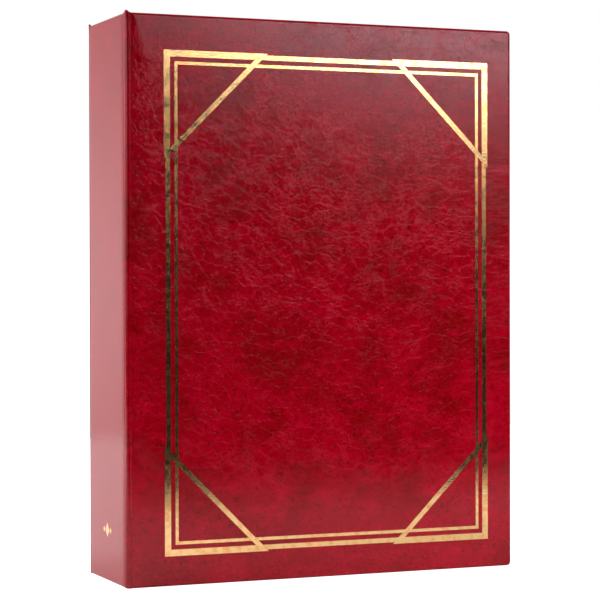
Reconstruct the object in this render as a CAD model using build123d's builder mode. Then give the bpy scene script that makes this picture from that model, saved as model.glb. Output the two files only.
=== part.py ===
from build123d import *

import math
import os

# A thick A4 stock album for stamps, bound like a book and standing on its lower edges.
#
# The case is one sheet of leatherette round three boards: front, spine and rear. It turns in over
# the boards' edges, and an endpaper covers the turn-ins inside each cover. The block is a stack of
# black card leaves. Each leaf has glassine pocket strips on both pages and a glassine interleaf,
# and hangs on a linen guard. Card spacers hold the guards apart at the spine.
#
# +X runs from the spine to the fore-edge, +Y from the front cover to the rear cover, +Z up.
# The origin is the centre of the footprint, on the surface that the album stands on.
# Every cover and leaf is drawn closed, and turns about an upright axis.

# Driving dimensions, in millimetres.
album_height = 305.0
album_width = 230.0
album_thickness = 68.0

covering_thickness = 0.4
board_thickness = 2.4
turn_in_width = 15.0
joint_radius = 2.5  # outside of the leatherette fold between spine and cover
joint_slit = 0.3  # free edge of a cover's leatherette and of its board, past the fold
cover_corner_radius = 2.2
cover_edge_radius = 1.2
inner_edge_radius = 0.8

endpaper_thickness = 0.2
endpaper_margin = 4.5

leaf_count = 24
leaf_height = 297.0
leaf_width = 210.0
leaf_thickness = 0.8
leaf_corner_radius = 2.0
block_clearance = 0.2  # between the block and each endpaper

guard_thickness = 0.6
guard_gap = 0.15  # between a guard and the rounded edge of its leaf
glue_line = 0.05
spacer_length = 7.6
lining_thickness = 0.6

strips_per_page = 9
strip_height = 29.0
strip_pitch = 32.0
strip_foot = 2.5  # glued band along the lower edge of a strip
strip_thickness = 0.15
pocket_depth = 0.2
strip_inner_margin = 14.0
strip_outer_margin = 3.0

interleaf_thickness = 0.1
interleaf_offset = 0.7  # from the page to the free part of the sheet
interleaf_foot_start = 4.0  # from the leaf's hinge line
interleaf_foot_length = 6.0
interleaf_margin = 3.0

foil_thickness = 0.1
foil_margin_spine = 21.4
foil_margin_fore_edge = 15.0
foil_margin_head = 19.0
foil_margin_tail = 16.0
foil_tie_leg = 59.5
foil_tie_line = 3.5
foil_tie_diagonal = 2.75
foil_outer_line = 2.6
foil_inner_line = 1.7
foil_line_gap = 2.5

ornament_height = 27.7
ornament_size = (7.0, 8.0)
ornament_side_size = (3.2, 3.6)
ornament_side_offset = 5.6

# Places worked out from them.
spine_face_x = -album_width / 2
fore_edge_x = album_width / 2
front_face_y = -album_thickness / 2

board_outer_y = front_face_y + covering_thickness
board_inner_y = board_outer_y + board_thickness
turn_in_y = board_inner_y + covering_thickness
cover_inner_y = turn_in_y + endpaper_thickness

spine_board_outer_x = spine_face_x + covering_thickness
spine_board_inner_x = spine_board_outer_x + board_thickness
spine_turn_in_x = spine_board_inner_x + covering_thickness
fold_end_x = spine_face_x + joint_radius
cover_start_x = fold_end_x + joint_slit
board_start_x = cover_start_x + joint_slit

block_half = -cover_inner_y - block_clearance
leaf_pitch = 2 * block_half / leaf_count
leaf_bottom = (album_height - leaf_height) / 2
hinge_x = fore_edge_x - leaf_bottom - leaf_width
guard_start_x = spine_board_inner_x + lining_thickness
guard_end_x = hinge_x - leaf_thickness / 2 - guard_gap
leaf_y = [-block_half + leaf_pitch * (number + 0.5) for number in range(leaf_count)]

front_plane = Plane.XZ.offset(-front_face_y)
spine_plane = Plane(origin=(spine_face_x, 0, ornament_height), x_dir=(0, -1, 0), z_dir=(-1, 0, 0))


def write(part, name):
    """Label a finished piece and write it as parts/NAME.step."""
    part.label = name
    export_step(part, f"parts/{name}.step")


def cover_slab(start_x, inset, outer_y, inner_y, corner_radius, outer_radius, inner_radius):
    """Front cover panel, square along the joint and rounded along its other three edges."""
    width = fore_edge_x - inset - start_x
    with BuildPart() as slab:
        with BuildSketch(Plane.XZ.offset(-outer_y)):
            with Locations((start_x + width / 2, album_height / 2)):
                Rectangle(width, album_height - 2 * inset)
            fillet(vertices().group_by(Axis.X)[-1], corner_radius)
        extrude(amount=outer_y - inner_y)
        fillet(faces().sort_by(Axis.Y)[0].edges().sort_by(Axis.X)[1:], outer_radius)
        fillet(faces().sort_by(Axis.Y)[-1].edges().sort_by(Axis.X)[1:], inner_radius)
    return slab.part


def upright_block(low_x, high_x, half_y, bottom_z):
    """Square block centred on the XZ plane, as far below the album's head as above its foot."""
    with BuildPart() as block:
        with BuildSketch(Plane.XY.offset(bottom_z)):
            with Locations(((low_x + high_x) / 2, 0)):
                Rectangle(high_x - low_x, 2 * half_y)
        extrude(amount=album_height - 2 * bottom_z)
    return block.part


# Boards.
front_board = cover_slab(
    board_start_x,
    covering_thickness,
    board_outer_y,
    board_inner_y,
    cover_corner_radius - covering_thickness,
    cover_edge_radius - covering_thickness,
    inner_edge_radius - covering_thickness,
)

with BuildPart() as rear_board:
    mirror(front_board, about=Plane.XZ)

spine_board = upright_block(
    spine_board_outer_x, spine_board_inner_x, block_half, covering_thickness
)

# Leatherette of a cover: the panel with its board taken out, a window between the turn-ins,
# and nothing over the board's edge at the joint.
covering_slab = cover_slab(
    cover_start_x,
    0,
    front_face_y,
    turn_in_y,
    cover_corner_radius,
    cover_edge_radius,
    inner_edge_radius,
)
window_width = fore_edge_x - turn_in_width - cover_start_x
window_height = album_height - 2 * turn_in_width

with BuildPart() as plain_covering:
    add(covering_slab)
    add(front_board, mode=Mode.SUBTRACT)
    with BuildSketch(Plane.XZ.offset(-turn_in_y)):
        with Locations((cover_start_x + window_width / 2, album_height / 2)):
            Rectangle(window_width, window_height)
    extrude(amount=covering_thickness, mode=Mode.SUBTRACT)
    with BuildSketch(Plane.XY):
        with Locations((cover_start_x + joint_slit / 2, (board_outer_y + turn_in_y) / 2)):
            Rectangle(joint_slit, turn_in_y - board_outer_y)
    extrude(amount=album_height, mode=Mode.SUBTRACT)

with BuildPart() as rear_covering:
    mirror(plain_covering.part, about=Plane.XZ)

# Gold foil on the front: an outer and an inner line, and a tie across each corner.
foil_low_x = spine_face_x + foil_margin_spine
foil_high_x = fore_edge_x - foil_margin_fore_edge
foil_low_z = foil_margin_tail
foil_high_z = album_height - foil_margin_head
foil_centre = ((foil_low_x + foil_high_x) / 2, (foil_low_z + foil_high_z) / 2)
foil_width = foil_high_x - foil_low_x
foil_height = foil_high_z - foil_low_z
outer_line_inset = foil_tie_line - foil_outer_line
inner_line_inset = foil_tie_line + foil_line_gap
tie_hollow_leg = foil_tie_leg - foil_tie_line - foil_tie_diagonal * math.sqrt(2)


def foil_ring(inset, line):
    """Rectangular line, its outer edge inset from the outside of the foil frame."""
    width = foil_width - 2 * inset
    height = foil_height - 2 * inset
    with BuildSketch(front_plane) as ring:
        with Locations(foil_centre):
            Rectangle(width, height)
            Rectangle(width - 2 * line, height - 2 * line, mode=Mode.SUBTRACT)
    return ring.sketch


def corner_triangle(x, z, to_x, to_z, leg):
    """Corners of a right triangle with its right angle at x, z and its legs towards to_x, to_z."""
    return [(x, z), (x + to_x * leg, z), (x, z + to_z * leg)]


with BuildSketch(front_plane) as corner_ties:
    for x, to_x in ((foil_low_x, 1), (foil_high_x, -1)):
        for z, to_z in ((foil_low_z, 1), (foil_high_z, -1)):
            Polygon(*corner_triangle(x, z, to_x, to_z, foil_tie_leg), align=None)
            hollow_x = x + to_x * foil_tie_line
            hollow_z = z + to_z * foil_tie_line
            hollow = corner_triangle(hollow_x, hollow_z, to_x, to_z, tie_hollow_leg - foil_tie_line)
            Polygon(*hollow, align=None, mode=Mode.SUBTRACT)

with BuildPart() as front_foil_frame:
    extrude(foil_ring(outer_line_inset, foil_outer_line), amount=-foil_thickness)
    extrude(foil_ring(inner_line_inset, foil_inner_line), amount=-foil_thickness)
    extrude(corner_ties.sketch, amount=-foil_thickness)

with BuildPart() as front_covering:
    add(plain_covering.part)
    add(front_foil_frame.part, mode=Mode.SUBTRACT)


# A small row of three lozenges in foil, low on the spine.
def lozenge(size):
    """Corners of a lozenge of that width and height."""
    width, height = size
    return [(-width / 2, 0), (0, -height / 2), (width / 2, 0), (0, height / 2)]


with BuildPart() as spine_foil_ornament:
    with BuildSketch(spine_plane):
        Polygon(*lozenge(ornament_size), align=None)
        with Locations((-ornament_side_offset, 0), (ornament_side_offset, 0)):
            Polygon(*lozenge(ornament_side_size), align=None)
    extrude(amount=-foil_thickness)

# Leatherette of the spine, with the fold round each joint, and its turn-ins over the spine board.
with BuildPart() as spine_covering:
    with BuildSketch(Plane.XY):
        with Locations((spine_face_x + 2 * joint_radius, 0)):
            Rectangle(4 * joint_radius, album_thickness)
        fillet(vertices().group_by(Axis.X)[0], joint_radius)
        offset(amount=-covering_thickness, mode=Mode.SUBTRACT)
        with Locations((fold_end_x + 2 * joint_radius, 0)):
            Rectangle(4 * joint_radius, album_thickness, mode=Mode.SUBTRACT)
    extrude(amount=album_height)
    with BuildSketch(Plane.XZ):
        for end_z, inward in ((0, 1), (album_height, -1)):
            skin_z = end_z + inward * covering_thickness
            turn_in_z = end_z + inward * turn_in_width
            Polygon(
                (spine_board_outer_x, end_z),
                (spine_turn_in_x, end_z),
                (spine_turn_in_x, turn_in_z),
                (spine_board_inner_x, turn_in_z),
                (spine_board_inner_x, skin_z),
                (spine_board_outer_x, skin_z),
                align=None,
            )
    extrude(amount=block_half, both=True)
    add(spine_foil_ornament.part, mode=Mode.SUBTRACT)

# Endpaper on the inside of each cover: the sheet over the turn-ins, and the infill between them.
sheet_high_x = fore_edge_x - endpaper_margin
infill_high_x = fore_edge_x - turn_in_width

with BuildPart() as front_endpaper:
    with BuildSketch(Plane.XZ.offset(-cover_inner_y)):
        with Locations(((board_start_x + sheet_high_x) / 2, album_height / 2)):
            Rectangle(sheet_high_x - board_start_x, album_height - 2 * endpaper_margin)
    extrude(amount=endpaper_thickness)
    with BuildSketch(Plane.XZ.offset(-turn_in_y)):
        with Locations(((board_start_x + infill_high_x) / 2, album_height / 2)):
            Rectangle(infill_high_x - board_start_x, window_height)
    extrude(amount=covering_thickness)

with BuildPart() as rear_endpaper:
    mirror(front_endpaper.part, about=Plane.XZ)

# Binding: the lining on the spine board, the linen guards, and the card spacers between them.
spine_lining = upright_block(
    spine_board_inner_x, guard_start_x, block_half, turn_in_width
)

guard_sides = [(y - guard_thickness / 2, y + guard_thickness / 2) for y in leaf_y]
spacer_low = [-block_half] + [high + glue_line for _, high in guard_sides]
spacer_high = [low - glue_line for low, _ in guard_sides] + [block_half]

with BuildPart() as binding_guards:
    with BuildSketch(Plane.XY.offset(leaf_bottom)):
        for low, high in guard_sides:
            with Locations(((guard_start_x + guard_end_x) / 2, (low + high) / 2)):
                Rectangle(guard_end_x - guard_start_x, high - low)
        for low, high in zip(spacer_low, spacer_high):
            with Locations((guard_start_x + spacer_length / 2, (low + high) / 2)):
                Rectangle(spacer_length, high - low)
    extrude(amount=leaf_height)

# One leaf, drawn on the XZ plane: the card, rounded about its hinge line.
with BuildPart() as leaf_card:
    with BuildSketch(Plane.XY.offset(leaf_bottom)):
        with Locations((hinge_x + leaf_width / 2, 0)):
            Rectangle(leaf_width, leaf_thickness)
        with Locations((hinge_x, 0)):
            Circle(leaf_thickness / 2)
    extrude(amount=leaf_height)
    fillet(edges().filter_by(Axis.Y).group_by(Axis.X)[-1], leaf_corner_radius)

# Its glassine: a row of pocket strips up each page, and the interleaf behind it.
strip_start_x = hinge_x + strip_inner_margin
strip_length = leaf_width - strip_inner_margin - strip_outer_margin
strip_span = strip_pitch * (strips_per_page - 1) + strip_height
strip_bottom = leaf_bottom + (leaf_height - strip_span) / 2
strip_outside = pocket_depth + strip_thickness


def strip_section(side, foot_z):
    """Section of one pocket strip: glued along its foot, and standing off the page above it."""
    page = side * leaf_thickness / 2
    return [
        (page, foot_z),
        (page + side * strip_outside, foot_z),
        (page + side * strip_outside, foot_z + strip_height),
        (page + side * pocket_depth, foot_z + strip_height),
        (page + side * pocket_depth, foot_z + strip_foot),
        (page, foot_z + strip_foot),
    ]


def interleaf_section():
    """Plan of the interleaf: a glued foot beside the hinge, a step, and the free sheet."""
    page = leaf_thickness / 2
    foot_low_x = hinge_x + interleaf_foot_start
    step_x = foot_low_x + interleaf_foot_length
    edge_x = hinge_x + leaf_width - interleaf_margin
    free_page = page + interleaf_offset
    return [
        (foot_low_x, page),
        (step_x, page),
        (step_x, free_page),
        (edge_x, free_page),
        (edge_x, free_page + interleaf_thickness),
        (step_x - interleaf_thickness, free_page + interleaf_thickness),
        (step_x - interleaf_thickness, page + interleaf_thickness),
        (foot_low_x, page + interleaf_thickness),
    ]


with BuildPart() as leaf_glassine:
    with BuildSketch(Plane.YZ.offset(strip_start_x)):
        for side in (-1, 1):
            for row in range(strips_per_page):
                Polygon(*strip_section(side, strip_bottom + row * strip_pitch), align=None)
    extrude(amount=strip_length)
    with BuildSketch(Plane.XY.offset(leaf_bottom + interleaf_margin)):
        Polygon(*interleaf_section(), align=None)
    extrude(amount=leaf_height - 2 * interleaf_margin)

# Write every piece, and each leaf in its place in the stack.
os.makedirs("parts", exist_ok=True)
write(front_board, "front_board")
write(rear_board.part, "rear_board")
write(spine_board, "spine_board")
write(front_covering.part, "front_covering")
write(rear_covering.part, "rear_covering")
write(spine_covering.part, "spine_covering")
write(front_foil_frame.part, "front_foil_frame")
write(spine_foil_ornament.part, "spine_foil_ornament")
write(front_endpaper.part, "front_endpaper")
write(rear_endpaper.part, "rear_endpaper")
write(spine_lining, "spine_lining")
write(binding_guards.part, "binding_guards")

for number, y in enumerate(leaf_y, start=1):
    with BuildPart() as placed_card:
        add(leaf_card.part.moved(Location((0, y, 0))))
    write(placed_card.part, f"leaf_{number:02d}_card")
    with BuildPart() as placed_glassine:
        add(leaf_glassine.part.moved(Location((0, y, 0))))
    write(placed_glassine.part, f"leaf_{number:02d}_glassine")
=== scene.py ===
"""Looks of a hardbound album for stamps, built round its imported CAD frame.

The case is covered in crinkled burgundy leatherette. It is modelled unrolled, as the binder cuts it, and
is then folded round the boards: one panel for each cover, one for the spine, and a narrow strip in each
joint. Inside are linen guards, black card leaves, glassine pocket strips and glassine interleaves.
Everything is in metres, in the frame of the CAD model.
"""

from __future__ import annotations

import logging
import math
from dataclasses import dataclass, field
from enum import Enum

import bmesh
import bpy
from mathutils import Matrix, Vector, noise

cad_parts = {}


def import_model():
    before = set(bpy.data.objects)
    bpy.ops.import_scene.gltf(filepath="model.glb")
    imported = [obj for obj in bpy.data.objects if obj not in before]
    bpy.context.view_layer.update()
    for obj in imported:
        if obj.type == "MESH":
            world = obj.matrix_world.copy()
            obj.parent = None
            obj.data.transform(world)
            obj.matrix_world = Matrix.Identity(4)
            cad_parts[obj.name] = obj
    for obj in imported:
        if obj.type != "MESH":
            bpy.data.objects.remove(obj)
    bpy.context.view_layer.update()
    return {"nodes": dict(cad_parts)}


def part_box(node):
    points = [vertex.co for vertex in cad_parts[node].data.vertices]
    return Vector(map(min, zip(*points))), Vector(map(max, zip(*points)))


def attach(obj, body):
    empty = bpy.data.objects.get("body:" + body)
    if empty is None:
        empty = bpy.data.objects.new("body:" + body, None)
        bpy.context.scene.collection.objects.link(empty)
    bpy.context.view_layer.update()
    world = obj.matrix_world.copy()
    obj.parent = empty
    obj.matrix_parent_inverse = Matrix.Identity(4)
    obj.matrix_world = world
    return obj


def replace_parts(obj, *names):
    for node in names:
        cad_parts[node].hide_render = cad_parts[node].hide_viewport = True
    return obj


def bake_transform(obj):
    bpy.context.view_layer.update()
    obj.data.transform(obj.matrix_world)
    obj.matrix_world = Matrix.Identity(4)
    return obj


MM = 0.001
LOG = logging.getLogger("stamp_album")
Colour = tuple[float, float, float]


class Side(Enum):
    """A cover of the album, with the sign of its Y."""

    FRONT = -1
    REAR = 1

    @property
    def cover(self) -> str:
        """Body that this cover belongs to."""
        return f"{self.name.lower()}_cover"

    @property
    def label(self) -> str:
        """Word that this cover's pieces start with."""
        return self.name.lower()


class Panel(Enum):
    """Part of the case that a piece of leatherette covers."""

    COVER = "leather"
    JOINT = "joint_leather"
    SPINE = "spine_leather"


def smoothstep(low: float, high: float, value: float) -> float:
    """Smooth rise from 0 at low to 1 at high, read at value."""
    share = min(1.0, max(0.0, (value - low) / (high - low)))
    return share * share * (3.0 - 2.0 * share)


def bell(centre: float, width: float, value: float) -> float:
    """Bell curve of height 1, which has fallen to about a third at width from its centre."""
    return math.exp(-(((value - centre) / width) ** 2))


def steps(start: float, stop: float, count: int) -> list[float]:
    """A number of evenly spaced values from start up to, but not with, stop."""
    return [start + (stop - start) * index / count for index in range(count)]


# -----------------------------------------------------------------------------
# Finishes
# -----------------------------------------------------------------------------


class Nodes:
    """A node tree under construction, with short calls for sums and mixes."""

    def __init__(self, tree: bpy.types.NodeTree) -> None:
        """Work on a tree."""
        self.tree = tree

    def remap(
        self, source: bpy.types.NodeSocket, low: float, high: float, to_low: float = 0.0, to_high: float = 1.0
    ) -> bpy.types.NodeSocket:
        """Rescale a pattern smoothly from low and high to to_low and to_high, and clamp it.

        Args:
            source: the pattern.
            low: value that becomes to_low. It is below high.
            high: value that becomes to_high.
            to_low: result at low.
            to_high: result at high.

        Returns:
            The result output.
        """
        node = self.tree.nodes.new("ShaderNodeMapRange")
        node.interpolation_type = "SMOOTHSTEP"
        for name, value in (("From Min", low), ("From Max", high), ("To Min", to_low), ("To Max", to_high)):
            node.inputs[name].default_value = value
        self.tree.links.new(source, node.inputs["Value"])
        return node.outputs["Result"]

    def maths(
        self,
        operation: str,
        first: bpy.types.NodeSocket | float,
        second: bpy.types.NodeSocket | float,
        clamp: bool = False,
    ) -> bpy.types.NodeSocket:
        """Combine two values.

        Args:
            operation: the Math node's operation.
            first: first value, or a constant.
            second: second value, or a constant.
            clamp: whether the result is kept between 0 and 1.

        Returns:
            The value output.
        """
        node = self.tree.nodes.new("ShaderNodeMath")
        node.operation = operation
        node.use_clamp = clamp
        for socket, value in zip(node.inputs, (first, second)):
            if isinstance(value, bpy.types.NodeSocket):
                self.tree.links.new(value, socket)
            else:
                socket.default_value = value
        return node.outputs["Value"]

    def mix(
        self,
        share: bpy.types.NodeSocket,
        first: Colour | bpy.types.NodeSocket,
        second: Colour | bpy.types.NodeSocket,
    ) -> bpy.types.NodeSocket:
        """Mix two colours.

        Args:
            share: 0 for the first colour and 1 for the second.
            first: a colour or a colour output.
            second: a colour or a colour output.

        Returns:
            The colour output.
        """
        node = self.tree.nodes.new("ShaderNodeMix")
        node.data_type = "RGBA"
        self.tree.links.new(share, node.inputs["Factor"])
        for socket, colour in ((node.inputs[6], first), (node.inputs[7], second)):
            if isinstance(colour, bpy.types.NodeSocket):
                self.tree.links.new(colour, socket)
            else:
                socket.default_value = (*colour, 1.0)
        return node.outputs[2]


class Shader(Nodes):
    """A material under construction, with short calls for the patterns that the finishes use."""

    def __init__(self, name: str, coordinates: str = "Object") -> None:
        """Start a material with a Principled shader.

        Args:
            name: the material's name.
            coordinates: "Object", or the name of a UV map that holds metres.
        """
        self.material = bpy.data.materials.new(name)
        self.material.use_nodes = True
        super().__init__(self.material.node_tree)
        self.principled = self.tree.nodes["Principled BSDF"]
        if coordinates == "Object":
            self.place = self.tree.nodes.new("ShaderNodeTexCoord").outputs["Object"]
        else:
            uv_map = self.tree.nodes.new("ShaderNodeUVMap")
            uv_map.uv_map = coordinates
            self.place = uv_map.outputs["UV"]

    def set(self, **values: float | tuple) -> None:
        """Set constants on the Principled shader.

        Args:
            values: socket names, with _ for a space, and their values.
        """
        for name, value in values.items():
            socket = self.principled.inputs[name.replace("_", " ")]
            if isinstance(value, tuple) and len(value) == 3:
                value = (*value, 1.0)
            socket.default_value = value

    def feed(self, socket: str, source: bpy.types.NodeSocket) -> None:
        """Link a pattern to one of the Principled shader's sockets."""
        self.tree.links.new(source, self.principled.inputs[socket])

    def stretched(self, scale: tuple[float, float, float], turn: float = 0.0) -> bpy.types.NodeSocket:
        """Coordinates stretched, and turned about Z, before a pattern reads them.

        Args:
            scale: factor along each axis.
            turn: angle about Z in radians.

        Returns:
            The vector output.
        """
        mapping = self.tree.nodes.new("ShaderNodeMapping")
        mapping.inputs["Scale"].default_value = scale
        mapping.inputs["Rotation"].default_value = (0.0, 0.0, turn)
        self.tree.links.new(self.place, mapping.inputs["Vector"])
        return mapping.outputs["Vector"]

    def bent(self, size: float, amount: float) -> bpy.types.NodeSocket:
        """Coordinates pushed about by a noise, so that straight lines in a pattern wander.

        Args:
            size: width of the bends in metres.
            amount: how far a point may move, in metres.

        Returns:
            The vector output.
        """
        texture = self.tree.nodes.new("ShaderNodeTexNoise")
        texture.inputs["Scale"].default_value = 1.0 / size
        texture.inputs["Detail"].default_value = 3.0
        self.tree.links.new(self.place, texture.inputs["Vector"])
        push = self.tree.nodes.new("ShaderNodeVectorMath")
        push.operation = "MULTIPLY_ADD"
        push.inputs[1].default_value = (amount, amount, amount)
        self.tree.links.new(texture.outputs["Color"], push.inputs[0])
        self.tree.links.new(self.place, push.inputs[2])
        return push.outputs["Vector"]

    def noise(
        self,
        size: float,
        detail: float = 2.0,
        roughness: float = 0.5,
        distortion: float = 0.0,
        place: bpy.types.NodeSocket | None = None,
    ) -> bpy.types.NodeSocket:
        """Cloudy noise from 0 to 1.

        Args:
            size: width of its features in metres.
            detail: octaves of finer noise.
            roughness: strength of the finer octaves.
            distortion: how much it swirls.
            place: coordinates, if not the material's own.

        Returns:
            The value output.
        """
        texture = self.tree.nodes.new("ShaderNodeTexNoise")
        texture.inputs["Scale"].default_value = 1.0 / size
        texture.inputs["Detail"].default_value = detail
        texture.inputs["Roughness"].default_value = roughness
        texture.inputs["Distortion"].default_value = distortion
        self.tree.links.new(place or self.place, texture.inputs["Vector"])
        return texture.outputs["Fac"]

    def cracks(self, size: float, place: bpy.types.NodeSocket | None = None) -> bpy.types.NodeSocket:
        """Distance to the nearest border between cells, 0 on the border.

        Args:
            size: width of a cell in metres.
            place: coordinates, if not the material's own.

        Returns:
            The distance output.
        """
        texture = self.tree.nodes.new("ShaderNodeTexVoronoi")
        texture.feature = "DISTANCE_TO_EDGE"
        texture.inputs["Scale"].default_value = 1.0 / size
        self.tree.links.new(place or self.place, texture.inputs["Vector"])
        return texture.outputs["Distance"]

    def threads(self, size: float, along: str) -> bpy.types.NodeSocket:
        """Even bands from 0 to 1, like parallel threads.

        Args:
            size: spacing of the threads in metres.
            along: axis that they are spaced along, "X", "Y" or "Z".

        Returns:
            The value output.
        """
        texture = self.tree.nodes.new("ShaderNodeTexWave")
        texture.bands_direction = along
        texture.inputs["Scale"].default_value = math.pi / (10.0 * size)
        texture.inputs["Distortion"].default_value = 0.6
        texture.inputs["Detail Scale"].default_value = 0.3
        self.tree.links.new(self.place, texture.inputs["Vector"])
        return texture.outputs["Fac"]

    def emboss(
        self,
        height: bpy.types.NodeSocket,
        depth: float,
        strength: float = 1.0,
        under: bpy.types.NodeSocket | None = None,
    ) -> bpy.types.NodeSocket:
        """Turn a height pattern into a bumped normal.

        Args:
            height: the pattern, from 0 to 1.
            depth: height in metres that 1 stands for.
            strength: share of the bump that shows.
            under: normal of a coarser bump below this one.

        Returns:
            The normal output.
        """
        node = self.tree.nodes.new("ShaderNodeBump")
        node.inputs["Distance"].default_value = depth
        node.inputs["Strength"].default_value = strength
        self.tree.links.new(height, node.inputs["Height"])
        if under is not None:
            self.tree.links.new(under, node.inputs["Normal"])
        return node.outputs["Normal"]


@dataclass(frozen=True)
class Leatherette:
    """Burgundy imitation leather: cloudy colour, dark flecks, a net of fine creases with a painted sheen on
    them, and a tight grain.
    """

    name: str = "leatherette"
    deep: Colour = (0.134, 0.0, 0.0008)
    body: Colour = (0.200, 0.0, 0.0046)
    bright: Colour = (0.265, 0.0001, 0.0100)
    fleck: Colour = (0.055, 0.0, 0.0008)
    # painted highlight: a lighter red laid along the creases stands in for the sheen that catches them
    painted_crease_sheen: Colour = (0.44, 0.006, 0.020)
    roughness: float = 0.09
    roughness_swing: float = 0.045
    cloud_size: float = 34 * MM
    smudge_size: float = 9 * MM
    fleck_size: float = 2.4 * MM
    crease_sizes: tuple[float, float] = (6 * MM, 2.1 * MM)
    crinkle_size: float = 1.5 * MM
    crinkle: float = 0.034 * MM
    grain_size: float = 0.7 * MM
    grain: float = 0.016 * MM

    def build(self) -> bpy.types.Material:
        """Make the material, which reads the unrolled sheet's own UV map.

        Returns:
            The material.
        """
        shader = Shader(self.name, coordinates="sheet")
        clouds = shader.noise(self.cloud_size, detail=5.0, roughness=0.6, distortion=0.4)
        wide = shader.stretched((0.6, 1.3, 1.0))
        smudges = shader.noise(self.smudge_size, detail=4.0, roughness=0.6, place=wide)
        colour = shader.mix(shader.remap(clouds, 0.30, 0.60), self.deep, self.body)
        colour = shader.mix(shader.remap(smudges, 0.48, 0.72, 0.0, 0.6), colour, self.bright)
        flecks = shader.noise(self.fleck_size, detail=2.0, roughness=0.65, distortion=1.2)
        colour = shader.mix(shader.remap(flecks, 0.52, 0.68, 0.0, 0.60), colour, self.fleck)

        wandering = shader.bent(3.2 * MM, 4.5 * MM)
        long, short = (shader.cracks(size, wandering) for size in self.crease_sizes)
        long_creases = shader.remap(long, 0.0, 0.035, 1.0, 0.0)
        short_creases = shader.remap(short, 0.0, 0.08, 1.0, 0.0)
        patches = shader.remap(shader.noise(12 * MM, detail=3.0), 0.40, 0.62)
        short_creases = shader.maths("MULTIPLY", short_creases, patches)
        creases = shader.maths("MAXIMUM", long_creases, short_creases)
        # painted highlight: the creases are coloured lighter, more so where the clouds are lighter, standing
        # in for sheen on them
        crease_sheen_share = shader.maths("MULTIPLY", creases, shader.remap(clouds, 0.35, 0.65, 0.06, 0.28))
        colour = shader.mix(crease_sheen_share, colour, self.painted_crease_sheen)
        shader.feed("Base Color", colour)

        slanted = shader.stretched((0.6, 1.2, 1.0), math.radians(12.0))
        crinkle = shader.noise(self.crinkle_size, 4.0, 0.68, distortion=1.5, place=slanted)
        grain = shader.noise(self.grain_size, detail=2.0, roughness=0.6)
        normal = shader.emboss(crinkle, self.crinkle, 0.6)
        normal = shader.emboss(creases, 0.4 * self.crinkle, 0.8, normal)
        normal = shader.emboss(grain, self.grain, 0.6, normal)
        shader.feed("Normal", normal)
        dull, shiny = self.roughness + self.roughness_swing, self.roughness - self.roughness_swing
        shader.feed("Roughness", shader.remap(clouds, 0.2, 0.8, dull, shiny))
        shader.set(IOR=1.5, Specular_IOR_Level=0.36, Specular_Tint=(1.0, 0.92, 1.0))
        return shader.material


@dataclass(frozen=True)
class GoldFoil:
    """Hot-stamped gold foil, with the leatherette's grain showing through."""

    gold: Colour = (1.0, 0.64, 0.29)
    worn: Colour = (0.97, 0.47, 0.17)
    roughness: float = 0.09

    def build(self) -> bpy.types.Material:
        """Make the material.

        Returns:
            The material.
        """
        shader = Shader("gold_foil")
        tone = shader.noise(3 * MM, detail=4.0)
        shader.feed("Base Color", shader.mix(shader.remap(tone, 0.4, 0.7), self.gold, self.worn))
        grain = shader.noise(0.9 * MM, detail=3.0, roughness=0.7)
        swell = shader.noise(6 * MM, detail=2.0)
        normal = shader.emboss(swell, 0.03 * MM, 0.5)
        shader.feed("Normal", shader.emboss(grain, 0.030 * MM, 0.6, normal))
        shader.feed("Roughness", shader.remap(tone, 0.3, 0.7, self.roughness, self.roughness + 0.06))
        shader.set(Metallic=1.0)
        return shader.material


@dataclass(frozen=True)
class Fibrous:
    """Paper or board: one colour, with fibres that are lighter and darker, and a soft tooth."""

    name: str
    colour: Colour
    fibre: Colour
    fibre_size: float
    tooth: float
    roughness: float = 0.85

    def build(self) -> bpy.types.Material:
        """Make the material.

        Returns:
            The material.
        """
        shader = Shader(self.name)
        fibres = shader.noise(self.fibre_size, detail=5.0, roughness=0.7, distortion=1.2)
        flow = shader.noise(6 * self.fibre_size, detail=3.0)
        share = shader.remap(fibres, 0.45, 0.75)
        shade = shader.maths("MULTIPLY", share, shader.remap(flow, 0.3, 0.7, 0.4, 1.0))
        shader.feed("Base Color", shader.mix(shade, self.colour, self.fibre))
        shader.feed("Normal", shader.emboss(fibres, self.tooth, 0.6))
        smooth, coarse = self.roughness - 0.06, self.roughness + 0.05
        shader.feed("Roughness", shader.remap(flow, 0.3, 0.7, smooth, coarse))
        shader.set(Specular_IOR_Level=0.35)
        return shader.material


@dataclass(frozen=True)
class Linen:
    """Plain-woven bookbinder's linen, dyed black."""

    thread: Colour = (0.035, 0.034, 0.036)
    gap: Colour = (0.008, 0.008, 0.009)
    spacing: float = 0.45 * MM

    def build(self) -> bpy.types.Material:
        """Make the material.

        Returns:
            The material.
        """
        shader = Shader("linen")
        warp = shader.threads(self.spacing, "X")
        weft = shader.threads(self.spacing, "Z")
        weave = shader.maths("MULTIPLY", warp, weft)
        slubs = shader.noise(4 * MM, detail=3.0, place=shader.stretched((4.0, 1.0, 1.0)))
        colour = shader.mix(shader.remap(weave, 0.0, 0.6), self.gap, self.thread)
        shader.feed("Base Color", shader.mix(shader.remap(slubs, 0.5, 0.8, 0.0, 0.6), colour, self.thread))
        shader.feed("Normal", shader.emboss(weave, 0.08 * MM, 0.8))
        shader.set(Roughness=0.8, Sheen_Weight=0.3, Sheen_Roughness=0.4)
        return shader.material


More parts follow.
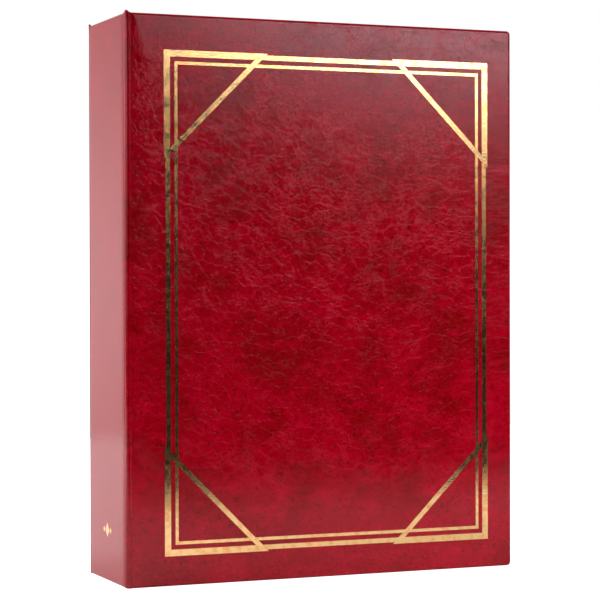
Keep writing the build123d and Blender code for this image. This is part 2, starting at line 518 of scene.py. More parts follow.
@dataclass(frozen=True)
class Glassine:
    """Smooth translucent paper: clear enough to see a stamp through, and a little milky."""

    name: str
    colour: Colour
    alpha: float
    roughness: float = 0.3

    def build(self) -> bpy.types.Material:
        """Make the material.

        Returns:
            The material.
        """
        shader = Shader(self.name)
        cloud = shader.noise(5 * MM, detail=5.0, roughness=0.6)
        ripple = shader.noise(14 * MM, detail=2.0, place=shader.stretched((0.5, 1.0, 1.0)))
        paler = tuple(min(1.0, 1.12 * channel) for channel in self.colour)
        shader.feed("Base Color", shader.mix(shader.remap(cloud, 0.35, 0.65), self.colour, paler))
        shader.feed("Alpha", shader.remap(cloud, 0.25, 0.75, self.alpha - 0.04, self.alpha + 0.05))
        normal = shader.emboss(ripple, 0.35 * MM, 0.5)
        shader.feed("Normal", shader.emboss(cloud, 0.03 * MM, 0.4, normal))
        shader.feed("Roughness", shader.remap(cloud, 0.3, 0.7, self.roughness, self.roughness + 0.12))
        return shader.material


class Finishes:
    """Every finish of the album, made once."""

    def __init__(self) -> None:
        """Build the materials."""
        self.leatherette = Leatherette().build()
        # painted sheen: the spine's copy lifts the dark tones and flecks and fades the crease highlight, so
        # the spine reads evenly pale as under its strong sheen
        self.spine_leatherette_painted_sheen = Leatherette(
            "spine_leatherette_painted_sheen", deep=(0.178, 0.0, 0.0030), bright=(0.218, 0.0, 0.0060),
            fleck=(0.150, 0.0, 0.002), painted_crease_sheen=(0.24, 0.002, 0.008), roughness_swing=0.0,
            crinkle=0.008 * MM, grain=0.004 * MM).build()
        self.foil = GoldFoil().build()
        self.greyboard = Fibrous(
            "greyboard", (0.30, 0.28, 0.25), (0.46, 0.44, 0.40), 0.8 * MM, 0.06 * MM).build()
        self.endpaper = Fibrous(
            "endpaper", (0.016, 0.015, 0.016), (0.040, 0.037, 0.038), 1.2 * MM, 0.04 * MM).build()
        self.lining = Fibrous(
            "kraft_lining", (0.36, 0.22, 0.12), (0.50, 0.34, 0.20), 1.0 * MM, 0.05 * MM).build()
        self.card = Fibrous(
            "black_card", (0.012, 0.012, 0.013), (0.030, 0.030, 0.032), 0.6 * MM, 0.03 * MM, 0.7).build()
        self.spacer = Fibrous(
            "spacer_card", (0.022, 0.021, 0.021), (0.060, 0.056, 0.052), 0.8 * MM, 0.05 * MM).build()
        self.linen = Linen().build()
        self.strip = Glassine("glassine_strip", (0.70, 0.74, 0.74), 0.20, 0.22).build()
        self.interleaf = Glassine("glassine_sheet", (0.62, 0.64, 0.62), 0.28, 0.36).build()


# -----------------------------------------------------------------------------
# Meshes
# -----------------------------------------------------------------------------


def finished(
    name: str, mesh: bmesh.types.BMesh, material: bpy.types.Material, smooth: bool = True
) -> bpy.types.Object:
    """Turn a bmesh into an object at the origin.

    Args:
        name: the piece's name.
        mesh: its shape, in place. It is freed.
        material: its finish.
        smooth: whether its faces are shaded smooth.

    Returns:
        The linked object.
    """
    for face in mesh.faces:
        face.smooth = smooth
    data = bpy.data.meshes.new(name)
    mesh.to_mesh(data)
    mesh.free()
    data.materials.append(material)
    piece = bpy.data.objects.new(name, data)
    bpy.context.scene.collection.objects.link(piece)
    return piece


def thickened(piece: bpy.types.Object, thickness: float, offset: float = -1.0) -> bpy.types.Object:
    """Give a sheet its thickness.

    Args:
        piece: a piece whose mesh is a surface.
        thickness: in metres.
        offset: -1 for inwards from the surface, 1 for outwards, 0 for both ways.

    Returns:
        The piece.
    """
    solid = piece.modifiers.new("thickness", "SOLIDIFY")
    solid.thickness = thickness
    solid.offset = offset
    return piece


def grid_of(columns: list[float], rows: list[float]) -> bmesh.types.BMesh:
    """Flat grid in the XZ plane with uneven spacing.

    Args:
        columns: X of each column of vertices.
        rows: Z of each row of vertices.

    Returns:
        The mesh.
    """
    mesh = bmesh.new()
    across, up = len(columns) - 1, len(rows) - 1
    bmesh.ops.create_grid(mesh, x_segments=across, y_segments=up, size=1.0)
    for vertex in mesh.verts:
        column = round((vertex.co.x + 1.0) / 2.0 * across)
        row = round((vertex.co.y + 1.0) / 2.0 * up)
        vertex.co = (columns[column], 0.0, rows[row])
    return mesh


def pulled(mesh: bmesh.types.BMesh, edges: list[bmesh.types.BMEdge], by: Vector) -> list[bmesh.types.BMEdge]:
    """Extrude a chain of edges.

    Args:
        mesh: the mesh that they are in.
        edges: the chain.
        by: how far, and which way.

    Returns:
        The chain's far copy.
    """
    made = bmesh.ops.extrude_edge_only(mesh, edges=edges)["geom"]
    moved = {element for element in made if isinstance(element, bmesh.types.BMVert)}
    bmesh.ops.translate(mesh, verts=list(moved), vec=by)
    ends = (element for element in made if isinstance(element, bmesh.types.BMEdge))
    return [edge for edge in ends if edge.verts[0] in moved and edge.verts[1] in moved]


# -----------------------------------------------------------------------------
# Case
# -----------------------------------------------------------------------------


@dataclass
class Case:
    """Leatherette case, laid out unrolled, given its turned-in edges, and folded round the boards.

    Unrolled, u runs across the sheet from the spine over the joint to the fore-edge, 0 where the fold
    round the joint ends and the cover starts. Depth is measured inwards from the outside of the case.
    """

    finishes: Finishes
    skin: float = 0.4 * MM
    fold_radius: float = 2.5 * MM
    slab: float = 3.2 * MM
    doubled: float = 0.8 * MM
    turn_in: float = 15.0 * MM
    corner_radius: float = 2.2 * MM
    outer_round: float = 1.2 * MM
    inner_round: float = 0.8 * MM
    doubled_round: float = 0.38 * MM
    round_steps: int = 4
    under_foil: float = 0.04 * MM
    crease_depth: float = 0.30 * MM
    crease_half_width: float = 0.42 * MM
    hollow_depth: float = 0.27 * MM
    hollow_width: float = 13.0 * MM
    hollow_spread: float = 0.38
    head_bump: float = 1.2 * MM
    bump_half_width: float = 1.3 * MM
    bump_height: float = 6.0 * MM
    seam_u: float = 0.6 * MM
    crease_gap: float = 0.5 * MM
    board_gap: float = 0.6 * MM
    edge_band: float = 3.0 * MM
    end_band: float = 33.0 * MM
    rear_sheet_shift: float = 0.4
    low: Vector = field(init=False)
    high: Vector = field(init=False)

    def __post_init__(self) -> None:
        """Read the case's outside from the frame."""
        spine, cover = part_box("spine_covering"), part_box("front_covering")
        self.low = Vector((spine[0].x, cover[0].y, cover[0].z))
        self.high = Vector((cover[1].x, spine[1].y, cover[1].z))

    @property
    def height(self) -> float:
        """Height of the case."""
        return self.high.z

    @property
    def half(self) -> float:
        """Half the thickness of the closed case."""
        return self.high.y

    @property
    def fold_length(self) -> float:
        """Length of leatherette round the outside of a joint."""
        return self.fold_radius * math.pi / 2.0

    @property
    def crease_u(self) -> float:
        """Where the crease between spine and joint lies."""
        return -self.fold_length - self.crease_gap

    @property
    def far_crease_u(self) -> float:
        """Where the crease on the far side of the spine lies."""
        return -self.fold_length - 2.0 * (self.half - self.fold_radius) + self.crease_gap

    @property
    def fore_edge_u(self) -> float:
        """Unrolled place of the fore-edge."""
        return self.high.x - self.low.x - self.fold_radius

    def folded(self, side: Side, u: float, depth: float, z: float) -> Vector:
        """Place a point of the unrolled sheet on the case.

        Args:
            side: cover that u runs towards.
            u: place across the sheet.
            depth: distance in from the outside.
            z: height.

        Returns:
            The point in the frame.
        """
        start_x, middle_y = self.low.x + self.fold_radius, self.half - self.fold_radius
        if u >= 0.0:
            return Vector((start_x + u, side.value * (self.half - depth), z))
        if u >= -self.fold_length:
            turn, reach = -u / self.fold_radius, self.fold_radius - depth
            across = side.value * (middle_y + reach * math.cos(turn))
            return Vector((start_x - reach * math.sin(turn), across, z))
        return Vector((self.low.x + depth, side.value * (middle_y + u + self.fold_length), z))

    def thickness(self, panel: Panel, u: float) -> float:
        """Thickness of the case, with its turn-ins.

        Args:
            panel: part of the case.
            u: place across the sheet.

        Returns:
            The boarded thickness, or that of two layers of leatherette beyond a board's edge.
        """
        past_crease = u > self.crease_u - self.board_gap or u < self.far_crease_u + self.board_gap
        if panel is Panel.JOINT or (panel is Panel.SPINE and past_crease):
            return self.doubled
        return self.slab

    def edge(self, ring: int, thickness: float) -> tuple[float, float]:
        """Section through a turned-in edge, from the outer face over the edge to the end of the turn-in.

        Args:
            ring: number of the step along the section, 0 on the outer face.
            thickness: thickness of the case there.

        Returns:
            Distance in from the outline, and depth.
        """
        boarded = thickness > self.doubled
        outer = self.outer_round if boarded else self.doubled_round
        inner = self.inner_round if boarded else self.doubled_round
        if ring <= self.round_steps:
            turn = math.pi / 2.0 * ring / self.round_steps
            return outer * (1.0 - math.sin(turn)), outer * (1.0 - math.cos(turn))
        ring -= self.round_steps + 1
        if ring <= self.round_steps:
            turn = math.pi / 2.0 * ring / self.round_steps
            return inner * (1.0 - math.cos(turn)), thickness - inner * (1.0 - math.sin(turn))
        return (self.turn_in / 3.0 if ring == self.round_steps + 1 else self.turn_in), thickness

    def relief(self, u: float, z: float) -> float:
        """How far the outside is sunk: creases beside the spine, and the hollow between joint and board.

        Args:
            u: place across the sheet.
            z: height.

        Returns:
            Depth below the outside of the case.
        """
        crease_places = (self.crease_u, self.far_crease_u)
        creases = sum(bell(place, self.crease_half_width, u) for place in crease_places)
        from_end = min(z, self.height - z)
        width = min(self.hollow_width, 1.0 * MM + self.hollow_spread * max(0.0, from_end))
        share = max(0.0, 1.0 - max(0.0, u - self.seam_u) / width)
        hollow = smoothstep(-0.6 * MM, self.seam_u, u) * share * share
        return self.under_foil + self.crease_depth * creases + self.hollow_depth * hollow

    def columns(self, panel: Panel) -> list[float]:
        """Columns of vertices across a panel, close together where it bends.

        Args:
            panel: part of the case.

        Returns:
            Values of u, in order.
        """
        if panel is Panel.JOINT:
            return [*steps(self.crease_u, self.seam_u, 40), self.seam_u]
        if panel is Panel.COVER:
            near_edge = self.fore_edge_u - self.edge_band
            last = self.fore_edge_u - self.outer_round
            hollow = self.seam_u + self.hollow_width
            return [*steps(self.seam_u, self.edge_band, 8), *steps(self.edge_band, hollow, 12),
                    *steps(hollow, near_edge, 20), *steps(near_edge, last, 4), last]
        board_start, board_end = self.far_crease_u + self.board_gap, self.crease_u - self.board_gap
        sharp, beside = 0.02 * MM, 1.0 * MM
        return [*steps(self.far_crease_u, board_start, 6), board_start + sharp,
                *steps(board_start + beside, board_end - beside, 16), board_end - sharp,
                *steps(board_end + sharp, self.crease_u, 6), self.crease_u]

    def rows(self) -> list[float]:
        """Rows of vertices up a panel, close together at its ends.

        Returns:
            Values of z, in order.
        """
        near = [*steps(0.0, self.edge_band, 4), *steps(self.edge_band, self.end_band, 15)]
        middle = steps(self.end_band, self.height - self.end_band, 16)
        return [*near, *middle, *[self.height - value for value in reversed(near)], self.height]

    def mitred(self, panel: Panel, vertex: Vector) -> tuple[float, float, float]:
        """Unrolled place of a vertex, with its turned-in edge.

        Args:
            panel: part of the case.
            vertex: u, ring and height, as the grid holds them.

        Returns:
            u, depth and height.
        """
        u, ring, z = vertex.x, round(vertex.y), vertex.z
        inset, depth = self.edge(ring, self.thickness(panel, u))
        at_head, at_foot = z > self.height - 1e-6, z < 1e-6
        at_fore_edge = panel is Panel.COVER and u > self.fore_edge_u - self.outer_round - 1e-6
        if at_head:
            z = self.height - inset
        elif at_foot:
            z = inset
        if at_fore_edge:
            u = self.fore_edge_u - inset
        if ring and panel is Panel.COVER:
            u = min(u, self.fore_edge_u - inset)
        if ring:
            z = min(max(z, inset), self.height - inset)
        elif not (at_head or at_foot):
            rounded = self.edge(0, self.thickness(panel, u))[0]
            z = min(max(z, rounded), self.height - rounded)
        return u, depth, z

    def rounded_corner(self, u: float, z: float) -> tuple[float, float]:
        """Round the outline's corners at the fore-edge.

        Args:
            u: place across the sheet.
            z: height.

        Returns:
            The same point, or the point that a square corner's moves to.
        """
        centre_u = self.fore_edge_u - self.corner_radius
        centre_z = self.corner_radius if z < self.height / 2.0 else self.height - self.corner_radius
        out = Vector((u - centre_u, (centre_z - z) if z < self.height / 2.0 else (z - centre_z)))
        if out.x <= 0.0 or out.y <= 0.0:
            return u, z
        out *= max(out.x, out.y) / out.length
        return centre_u + out.x, centre_z + (out.y if z > self.height / 2.0 else -out.y)

    def build(self, panel: Panel, side: Side) -> bpy.types.Object:
        """Make one piece of the leatherette.

        Args:
            panel: part of the case.
            side: cover that it belongs to.

        Returns:
            The piece, with no body yet.
        """
        mesh = grid_of(self.columns(panel), self.rows())
        last_u = self.columns(panel)[-1]
        rim = [edge for edge in mesh.edges if edge.is_boundary and (
            all(vertex.co.z < 1e-6 for vertex in edge.verts)
            or all(vertex.co.z > self.height - 1e-6 for vertex in edge.verts)
            or (panel is Panel.COVER and all(vertex.co.x > last_u - 1e-6 for vertex in edge.verts)))]
        for _ in range(2 * self.round_steps + 3):
            rim = pulled(mesh, rim, Vector((0.0, 1.0, 0.0)))
        sheet = mesh.loops.layers.uv.new("sheet")
        for vertex in mesh.verts:
            u, depth, z = self.mitred(panel, vertex.co)
            across = u + (depth if vertex.co.x > last_u - 1e-6 else 0.0)
            up = z + (depth if z > self.height / 2 else -depth)
            for loop in vertex.link_loops:
                loop[sheet].uv = (across, up + (self.rear_sheet_shift if side is Side.REAR else 0.0))
            if panel is Panel.COVER:
                u, z = self.rounded_corner(u, z)
            thickness = self.thickness(panel, u)
            depth += self.relief(u, z) * (1.0 - depth / thickness)
            if panel is Panel.JOINT:
                rise = bell(-self.fold_length / 2.0, self.bump_half_width, u)
                rise *= smoothstep(-self.bump_height, 0.0, z - self.height)
                z += self.head_bump * rise
                depth -= 0.25 * self.head_bump * rise
            vertex.co = self.folded(side, u, depth, z)
        bmesh.ops.remove_doubles(mesh, verts=mesh.verts, dist=0.001 * MM)
        self.face_outwards(mesh, panel, side)
        name = "spine_leather" if panel is Panel.SPINE else f"{side.label}_{panel.value}"
        finish = self.finishes.spine_leatherette_painted_sheen if panel is Panel.SPINE else self.finishes.leatherette
        piece = finished(name, mesh, finish)
        return thickened(piece, self.skin)

    def face_outwards(self, mesh: bmesh.types.BMesh, panel: Panel, side: Side) -> None:
        """Turn a panel's faces to the outside.

        Args:
            mesh: the folded panel.
            panel: part of the case.
            side: cover that it belongs to.
        """
        bmesh.ops.recalc_face_normals(mesh, faces=mesh.faces)
        out = Vector((-1.0, 0.0, 0.0)) if panel is Panel.SPINE else Vector((0.0, side.value, 0.0))
        outermost = max(
            mesh.faces, key=lambda face: face.calc_center_median().dot(out) + 1e3 * face.calc_area())
        if outermost.normal.dot(out) < 0.0:
            bmesh.ops.reverse_faces(mesh, faces=mesh.faces)

    def cover_all(self) -> None:
        """Make every piece of the case, and join the spine and cover panels to their bodies."""
        spine = self.build(Panel.SPINE, Side.FRONT)
        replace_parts(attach(spine, "spine"), "spine_covering")
        LOG.info("spine: leatherette over the spine board")
        for side in Side:
            cover = self.build(Panel.COVER, side)
            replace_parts(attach(cover, side.cover), f"{side.label}_covering")
            joint = self.build(Panel.JOINT, side)
            inset = 0.1 * MM
            start = self.folded(side, self.crease_u, 0.0, self.height / 2.0)
            start += Vector((inset, side.value * inset, 0.0))
            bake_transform(joint)
            LOG.info("%s: leatherette over the cover and in its joint", side.label)


@dataclass
class CaseTrim:
    """What is on and in the case beside its leatherette: foil, boards, endpapers and lining."""

    finishes: Finishes
    nodes: dict[str, bpy.types.Object]

    def dress(self) -> None:
        """Give each CAD node of the case its finish."""
        dressing = {
            self.finishes.foil: ("front_foil_frame", "spine_foil_ornament"),
            self.finishes.greyboard: ("front_board", "rear_board", "spine_board"),
            self.finishes.endpaper: ("front_endpaper", "rear_endpaper"),
            self.finishes.lining: ("spine_lining",),
        }
        for material, names in dressing.items():
            for name in names:
                self.nodes[name].material_slots[0].material = material
                LOG.info("%s: %s", name, material.name)


@dataclass
class Gutter:
    """Linen that joins each cover's inside to the block, folded flat when the album is closed."""

    finishes: Finishes
    cloth: float = 0.05 * MM
    clearance: float = 0.02 * MM
    on_block: float = 6.5 * MM
    on_cover: float = 9.0 * MM
    arc_steps: int = 28
    rows: int = 12

    def build(self, side: Side) -> bpy.types.Object:
        """Make one strip of linen.

        Args:
            side: cover that it joins to the block.

        Returns:
            The strip.
        """
        guards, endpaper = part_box("binding_guards"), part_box(f"{side.label}_endpaper")
        block_y = guards[1].y + self.clearance + self.cloth
        cover_y = min(abs(endpaper[0].y), abs(endpaper[1].y)) - self.clearance - self.cloth
        fold_x, foot, head = guards[0].x, guards[0].z, guards[1].z
        path = [(fold_x + reach, block_y) for reach in (self.on_block, self.on_block / 2.0, 0.0)]
        for step in range(1, self.arc_steps):
            share = step / self.arc_steps
            across = 0.5 - math.sin(math.asin(1.0 - 2.0 * share) / 3.0)
            path.append((fold_x, block_y + (cover_y - block_y) * across))
        path += [(fold_x + reach, cover_y) for reach in (0.0, self.on_cover / 2.0, self.on_cover)]
        mesh = bmesh.new()
        points = [mesh.verts.new((x, side.value * y, foot)) for x, y in path]
        chain = [mesh.edges.new(pair) for pair in zip(points, points[1:])]
        for _ in range(self.rows):
            chain = pulled(mesh, chain, Vector((0.0, 0.0, (head - foot) / self.rows)))
        name = f"{side.label}_gutter_linen"
        strip = thickened(finished(name, mesh, self.finishes.linen), self.cloth, 0.0)
        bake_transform(strip)
        LOG.info("%s: linen from the cover's inside to the block", name)
        return strip


# -----------------------------------------------------------------------------
# Block
# -----------------------------------------------------------------------------


@dataclass
class Leaf:
    """One leaf: its card, its linen guard, its glassine pocket strips and its glassine interleaf."""

    finishes: Finishes
    nodes: dict[str, bpy.types.Object]
    number: int
    guard: float = 0.6 * MM
    guard_on_card: float = 3.8 * MM
    guard_cloth: float = 0.13 * MM
    guard_bend: float = 0.7 * MM
    strips: int = 9
    strip_height: float = 29.0 * MM
    strip_pitch: float = 32.0 * MM
    strip_margins: tuple[float, float] = (14.0 * MM, 3.0 * MM)
    strip_end: float = 3.0 * MM
    glue: float = 0.03 * MM
    film: float = 0.08 * MM
    stand_off: float = 0.9 * MM
    sheet: float = 0.07 * MM
    sheet_foot: tuple[float, float] = (4.0 * MM, 10.0 * MM)
    sheet_margin: float = 3.0 * MM
    sheet_fold: float = 1.2 * MM

    @property
    def body(self) -> str:
        """Name of the leaf's body."""
        return f"leaf_{self.number:02d}"

    def __post_init__(self) -> None:
        """Read the card's place from the frame."""
        self.low, self.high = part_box(f"{self.body}_card")
        self.page = (self.high.y - self.low.y) / 2.0
        self.y = (self.low.y + self.high.y) / 2.0
        self.hinge_x = self.low.x + self.page

    def build_guard(self) -> None:
        """Make the linen guard, which is split over the card's edge and bends at the hinge."""
        spine_x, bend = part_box("binding_guards")[0].x, self.guard_bend
        over, under, half = self.page + self.guard_cloth, self.page + 0.01 * MM, self.guard / 2.0
        edge_x = self.hinge_x + self.guard_on_card
        front = [(spine_x, half), (self.hinge_x - 6 * bend, half)]
        front += [(self.hinge_x + bend * step / 4.0, half + (over - half) * smoothstep(-4, 4, step))
                  for step in range(-4, 5)]
        front += [(edge_x, over), (edge_x, under), (self.hinge_x, under)]
        outline = front + [(x, -y) for x, y in reversed(front)]
        mesh = bmesh.new()
        points = [mesh.verts.new((x, self.y + y, self.low.z)) for x, y in outline]
        loop = [mesh.edges.new((points[index - 1], points[index])) for index in range(len(points))]
        bmesh.ops.triangle_fill(mesh, edges=loop, use_beauty=True)
        ends = pulled(mesh, loop, Vector((0.0, 0.0, self.high.z - self.low.z)))
        bmesh.ops.triangle_fill(mesh, edges=ends, use_beauty=True)
        bmesh.ops.recalc_face_normals(mesh, faces=mesh.faces)
        piece = finished(f"{self.body}_guard", mesh, self.finishes.linen, smooth=False)
        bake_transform(piece)

    def build_strips(self) -> None:
        """Make the pocket strips of both pages, each glued at its foot and ends and open along its top."""
        left, right = self.hinge_x + self.strip_margins[0], self.high.x - self.strip_margins[1]
        span = self.strip_pitch * (self.strips - 1) + self.strip_height
        first = self.low.z + (self.high.z - self.low.z - span) / 2.0
        section = ((0.0, self.glue / MM), (2.4, self.glue / MM), (3.4, 0.17), (9.0, 0.27), (16.0, 0.25),
                   (24.0, 0.21), (28.0, 0.22), (self.strip_height / MM, 0.30))
        columns = [0.0, 1.0, 3.0, *steps(6.0, 190.0, 18), 190.0, 192.0]
        columns = [left + (right - left) * value / columns[-1] for value in columns]
        mesh = bmesh.new()
        for way in (-1, 1):
            for row in range(self.strips):
                foot = first + row * self.strip_pitch
                points = [mesh.verts.new((left, off * MM, foot + up * MM)) for up, off in section]
                chain = [mesh.edges.new(pair) for pair in zip(points, points[1:])]
                made = list(points)
                for x in columns[1:]:
                    chain = pulled(mesh, chain, Vector((x - made[-1].co.x, 0.0, 0.0)))
                    made += list(dict.fromkeys(vertex for edge in chain for vertex in edge.verts))
                for vertex in made:
                    free = smoothstep(0.0, self.strip_end, min(vertex.co.x - left, right - vertex.co.x))
                    seed = Vector((vertex.co.x * 28.0, vertex.co.z * 16.0, self.number * 3.7 + way))
                    free *= 1.0 + 0.45 * noise.noise(seed)
                    lift = self.glue + (vertex.co.y - self.glue) * free
                    vertex.co.y = self.y + way * (self.page + lift)
        bmesh.ops.recalc_face_normals(mesh, faces=mesh.faces)
        piece = finished(f"{self.body}_strips", mesh, self.finishes.strip)
        thickened(piece, self.film, 0.0)
        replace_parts(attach(piece, self.body), f"{self.body}_glassine")

    def build_interleaf(self) -> None:
        """Make the glassine sheet behind the card, folded up from its glued foot."""
        start, step_x = self.hinge_x + self.sheet_foot[0], self.hinge_x + self.sheet_foot[1]
        end = self.high.x - self.sheet_margin
        bottom, top = self.low.z + self.sheet_margin, self.high.z - self.sheet_margin
        fold_low, fold_high = step_x - self.sheet_fold, step_x + self.sheet_fold
        columns = [start, *steps(fold_low, fold_high, 8), *steps(fold_high, end, 24), end]
        mesh = grid_of(columns, [*steps(bottom, top, 30), top])
        for vertex in mesh.verts:
            free = smoothstep(fold_low, fold_high, vertex.co.x)
            seed = Vector((vertex.co.x * 13.0, vertex.co.z * 9.0, self.number * 5.3))
            wave = 0.22 * MM * noise.noise(seed) * smoothstep(step_x, step_x + 30.0 * MM, vertex.co.x)
            vertex.co.y = self.y + self.page + 0.08 * MM + (self.stand_off - 0.28 * MM) * free + wave
        bmesh.ops.recalc_face_normals(mesh, faces=mesh.faces)
        piece = finished(f"{self.body}_interleaf", mesh, self.finishes.interleaf)
        thickened(piece, self.sheet, 0.0)
        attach(piece, self.body)

    def build(self) -> None:
        """Make and dress the whole leaf."""
        self.nodes[f"{self.body}_card"].material_slots[0].material = self.finishes.card
        self.build_guard()
        self.build_strips()
        self.build_interleaf()
        LOG.info("%s: card, guard, %d strips and interleaf", self.body, 2 * self.strips)


@dataclass
class Block:
    """The leaves, and the card spacers that hold their guards apart at the spine."""

    finishes: Finishes
    nodes: dict[str, bpy.types.Object]
    leaves: int = 24
    spacer_length: float = 7.6 * MM
    spacer_gap: float = 0.03 * MM
    spacer_round: float = 0.15 * MM

    def build_spacers(self, leaves: list[Leaf]) -> None:
        """Make the spacers.

        Args:
            leaves: the leaves, in order from the front.
        """
        low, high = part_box("binding_guards")
        half = leaves[0].guard / 2.0 + self.spacer_gap
        edges = [low.y, *[side for leaf in leaves for side in (leaf.y - half, leaf.y + half)], high.y]
        mesh = bmesh.new()
        for near, far in zip(edges[::2], edges[1::2]):
            size = Vector((self.spacer_length, far - near, high.z - low.z))
            middle_x, middle_z = low.x + self.spacer_length / 2.0, (low.z + high.z) / 2.0
            centre = Vector((middle_x, (near + far) / 2.0, middle_z))
            bmesh.ops.create_cube(mesh, size=1.0, matrix=Matrix.LocRotScale(centre, None, size))
        upright = [edge for edge in mesh.edges if edge.calc_length() > 0.1]
        bmesh.ops.bevel(
            mesh, geom=upright, offset=self.spacer_round, segments=2, profile=0.5, affect="EDGES",
            material=-1)
        piece = finished("guard_spacers", mesh, self.finishes.spacer, smooth=False)
        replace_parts(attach(piece, "spine"), "binding_guards")
        LOG.info("guard_spacers: %d card spacers", len(edges) // 2)

    def build(self) -> None:
        """Make the whole block."""
        leaves = [Leaf(self.finishes, self.nodes, number) for number in range(1, self.leaves + 1)]
        self.build_spacers(leaves)
        for leaf in leaves:
            leaf.build()


# -----------------------------------------------------------------------------
# Studio
# -----------------------------------------------------------------------------


@dataclass(frozen=True)
class Softbox:
    """Rectangular light that fills in colour, and isn't itself reflected."""

    name: str
    at: Colour
    towards: Colour
    size: tuple[float, float]
    power: float

    def hang(self) -> None:
        """Add the light to the scene."""
        light = bpy.data.lights.new(self.name, "AREA")
        light.shape = "RECTANGLE"
        light.size, light.size_y = self.size
        light.energy = self.power
        lamp = bpy.data.objects.new(self.name, light)
        aim = (Vector(self.towards) - Vector(self.at)).to_track_quat("-Z", "Y").to_matrix().to_4x4()
        lamp.matrix_world = Matrix.Translation(self.at) @ aim
        lamp.visible_glossy = lamp.visible_camera = False
        bpy.context.scene.collection.objects.link(lamp)


@dataclass(frozen=True)
class Surroundings:
    """What a glossy surface reflects: a bright sweep behind the album, and a soft panel ahead on the right.

    Angles are in degrees. Azimuth is 0 straight in front of the cover and grows towards its fore-edge. The
    panel's lower edge falls from its left to its right, and it fades out over a wider angle there.
    """

    behind: float = 1.20
    behind_fall: float = 10.0
    beside: float = 2.4
    ahead: float = 0.012
    panel: float = 7.6
    panel_left: float = 16.6
    panel_right: float = 36.0
    panel_top: float = 11.0
    panel_full_left: float = 8.6
    panel_full_right: float = 6.7
    fade_left: float = 0.6
    fade_right: float = 4.3
    fade_power: float = 3.0
    softness: tuple[float, float, float] = (0.8, 6.0, 2.0)
    fall_end: float = 27.0
    fade_end: float = 26.0
    beside_rise: float = 5.0
    beside_top: tuple[float, float] = (11.0, 18.0)

    def build(self) -> None:
        """Make the world."""
        world = bpy.data.worlds.new("studio")
        bpy.context.scene.world = world
        world.use_nodes = True
        nodes = Nodes(world.node_tree)
        tree = world.node_tree
        parts = tree.nodes.new("ShaderNodeSeparateXYZ")
        tree.links.new(tree.nodes.new("ShaderNodeTexCoord").outputs["Generated"], parts.inputs[0])
        ahead = nodes.maths("MULTIPLY", parts.outputs["Y"], -1.0)
        azimuth = nodes.maths("ARCTAN2", parts.outputs["X"], ahead)
        elevation = parts.outputs["Z"]

        fade = nodes.remap(azimuth, *(math.radians(angle) for angle in (
            self.panel_left + 1.0, self.fade_end, self.fade_left, self.fade_right)))
        foot = nodes.remap(azimuth, *(math.radians(angle) for angle in (
            self.panel_left, self.fall_end, self.panel_full_left, self.panel_full_right)))
        below = nodes.maths("SUBTRACT", foot, elevation)
        left = nodes.maths("SUBTRACT", 1.0, nodes.maths("DIVIDE", below, fade), True)
        panel = nodes.maths("POWER", left, self.fade_power)
        soft_left, soft_right, soft_top = self.softness
        for edge, from_low, from_high in (
            (azimuth, self.panel_left, self.panel_left + soft_left),
            (azimuth, self.panel_right, self.panel_right - soft_right),
            (elevation, self.panel_top + soft_top, self.panel_top),
        ):
            low, high = sorted((from_low, from_high))
            ends = (0.0, 1.0) if from_low < from_high else (1.0, 0.0)
            shade = nodes.remap(edge, math.radians(low), math.radians(high), *ends)
            panel = nodes.maths("MULTIPLY", panel, shade)
        panel = nodes.maths("MULTIPLY", panel, self.panel)

        level = nodes.maths("ABSOLUTE", elevation, 0.0)
        sweep = nodes.remap(level, 0.0, math.radians(self.behind_fall), self.behind, 0.5 * self.behind)
        sweep = nodes.maths("MULTIPLY", sweep, nodes.remap(parts.outputs["Y"], -0.1, 0.6))
        beside = nodes.remap(elevation, 0.0, math.radians(self.beside_rise), 0.0, self.beside)
        low, high = (math.radians(angle) for angle in self.beside_top)
        for shade in (
            nodes.remap(parts.outputs["X"], -0.75, -0.35, 1.0, 0.0),
            nodes.remap(parts.outputs["Y"], -0.75, -0.40),
            nodes.remap(elevation, low, high, 1.0, 0.0),
        ):
            beside = nodes.maths("MULTIPLY", beside, shade)
        light = nodes.maths("ADD", nodes.maths("MAXIMUM", sweep, beside), panel)
        light = nodes.maths("ADD", light, self.ahead)
        seen = tree.nodes.new("ShaderNodeLightPath").outputs["Is Camera Ray"]
        light = nodes.maths("MAXIMUM", light, seen)
        tree.links.new(light, tree.nodes["Background"].inputs["Strength"])
        tree.nodes["Background"].inputs["Color"].default_value = (1.0, 1.0, 1.0, 1.0)


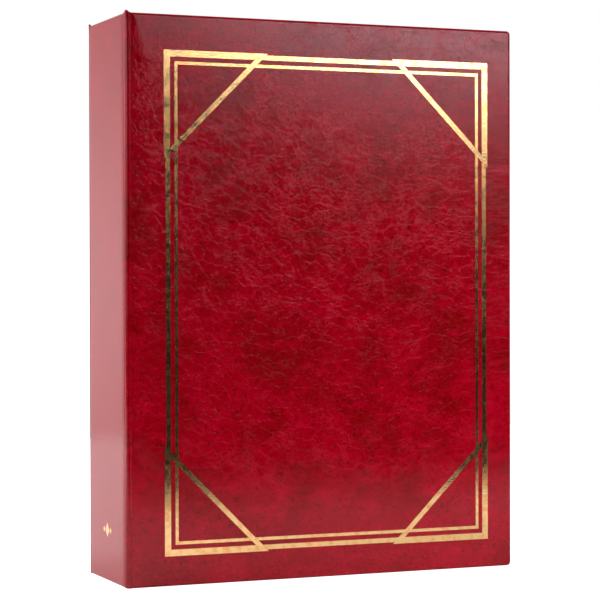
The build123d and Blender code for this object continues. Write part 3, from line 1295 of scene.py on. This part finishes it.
@dataclass
class Studio:
    """White sweep, soft light and the camera."""

    lens: float = 123.86
    camera_at: Colour = (-0.4493, -1.0759, 0.1620)
    yaw: float = math.radians(22.61)
    pitch: float = math.radians(-0.49)
    roll: float = math.radians(0.13)
    floor_half: tuple[float, float] = (1.4, 0.71)
    floor_middle: Colour = (0.0, 0.29, -0.0002)
    floor_grey: float = 0.7
    lights: tuple[Softbox, ...] = (
        Softbox("key", (1.0, -0.50, 0.05), (0.0, 0.0, 0.1), (0.5, 0.3), 1.7),
        Softbox("foot", (0.22, -0.50, 0.006), (0.0, 0.0, 0.006), (0.6, 0.01), 3.6),
        Softbox("overhead", (0.05, -0.16, 1.2), (0.05, -0.25, 0.0), (0.6, 0.3), 11.5),
        Softbox("left", (-1.0, 0.22, 0.08), (-0.1, 0.0, 0.1), (0.5, 0.3), 9.5),
        Softbox("sweep", (-0.9, 0.9, 1.0), (-0.5, 0.5, 0.0), (1.0, 1.0), 26.0),
    )

    def place_camera(self) -> None:
        """Set up the camera, looking at the album's spine and front cover."""
        data = bpy.data.cameras.new("camera")
        data.lens = self.lens
        data.sensor_width = 36.0
        data.clip_start, data.clip_end = 0.01, 50.0
        camera = bpy.data.objects.new("camera", data)
        turn = Matrix.Rotation(-self.yaw, 4, "Z") @ Matrix.Rotation(math.pi / 2.0 + self.pitch, 4, "X")
        camera.matrix_world = Matrix.Translation(self.camera_at) @ turn @ Matrix.Rotation(-self.roll, 4, "Z")
        bpy.context.scene.collection.objects.link(camera)
        bpy.context.scene.camera = camera

    def lay_floor(self) -> None:
        """Lay the white sheet that the album stands on."""
        mesh = bmesh.new()
        bmesh.ops.create_grid(mesh, x_segments=1, y_segments=1, size=1.0)
        bmesh.ops.scale(mesh, vec=(*self.floor_half, 1.0), verts=mesh.verts)
        bmesh.ops.translate(mesh, vec=self.floor_middle, verts=mesh.verts)
        shader = Shader("floor_sheet")
        shader.set(Base_Color=(self.floor_grey,) * 3, Roughness=0.9, Specular_IOR_Level=0.0,
                   Emission_Color=(1.0, 1.0, 1.0))
        seen = shader.tree.nodes.new("ShaderNodeLightPath").outputs["Is Camera Ray"]
        shader.feed("Emission Strength", seen)
        finished("floor", mesh, shader.material, smooth=False)

    def build(self) -> None:
        """Build the whole studio."""
        bpy.context.scene.view_settings.view_transform = "Standard"
        self.place_camera()
        self.lay_floor()
        Surroundings().build()
        for light in self.lights:
            light.hang()
        LOG.info("studio: camera, floor, world and lights")


def main() -> None:
    """Build the album and its studio."""
    logging.basicConfig(level=logging.INFO, format="%(message)s")
    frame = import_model()
    Studio().build()
    finishes = Finishes()
    Case(finishes).cover_all()
    CaseTrim(finishes, frame["nodes"]).dress()
    Block(finishes, frame["nodes"]).build()
    gutter = Gutter(finishes)
    for side in Side:
        gutter.build(side)


if __name__ == "__main__":
    main()
